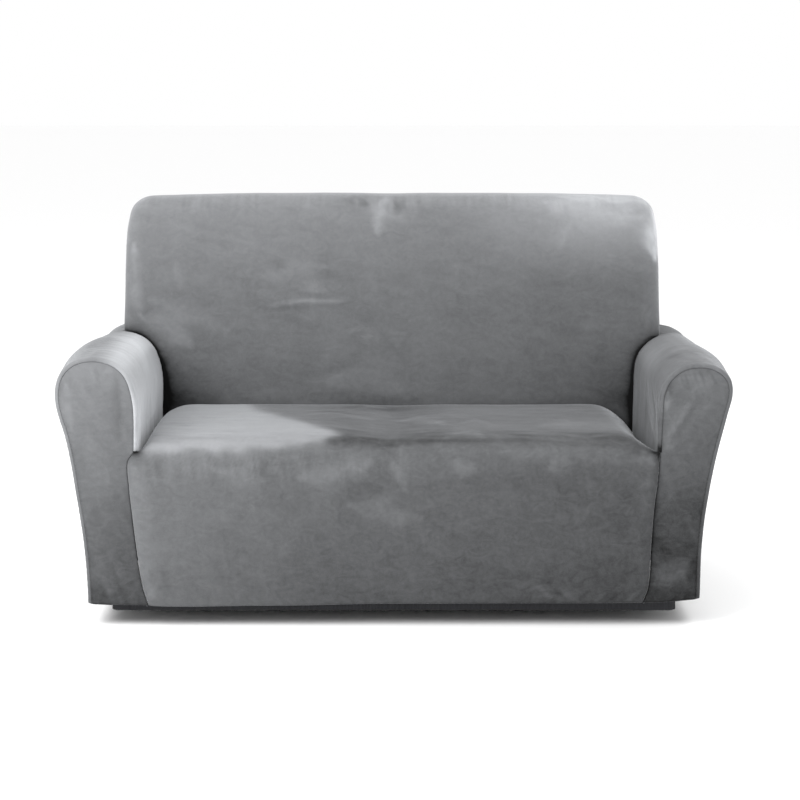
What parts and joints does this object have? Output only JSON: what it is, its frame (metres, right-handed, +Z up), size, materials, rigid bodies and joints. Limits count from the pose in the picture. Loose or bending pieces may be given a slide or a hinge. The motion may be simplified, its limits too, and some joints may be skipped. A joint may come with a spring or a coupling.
{
  "type": "fitted sofa slipcover",
  "caption": "Stretch velour slipcover for a two-seat sofa with rolled arms, hollow, with a gathered elastic hem.",
  "frame": {"origin": "middle of the underside of the back's top, where the sofa's back holds the cover up, on the middle line between the arms", "axes": "+X along the sofa to the right as seen from the front, +Y from the front to the back, +Z up"},
  "size_m": [1.6142, 0.8691, 0.954],
  "materials": {
    "cover_velour": "matt short pile",
    "hem_elastic": "matt ribbed"
  },
  "bodies": {
    "root": {"arm_cover_left": "cover_velour", "arm_cover_right": "cover_velour", "arm_facing_left": "cover_velour", "arm_facing_right": "cover_velour", "hem_band": "hem_elastic", "inside_back": "cover_velour", "outside_back": "cover_velour", "seat_and_apron": "cover_velour"}
  },
  "joints": []
}
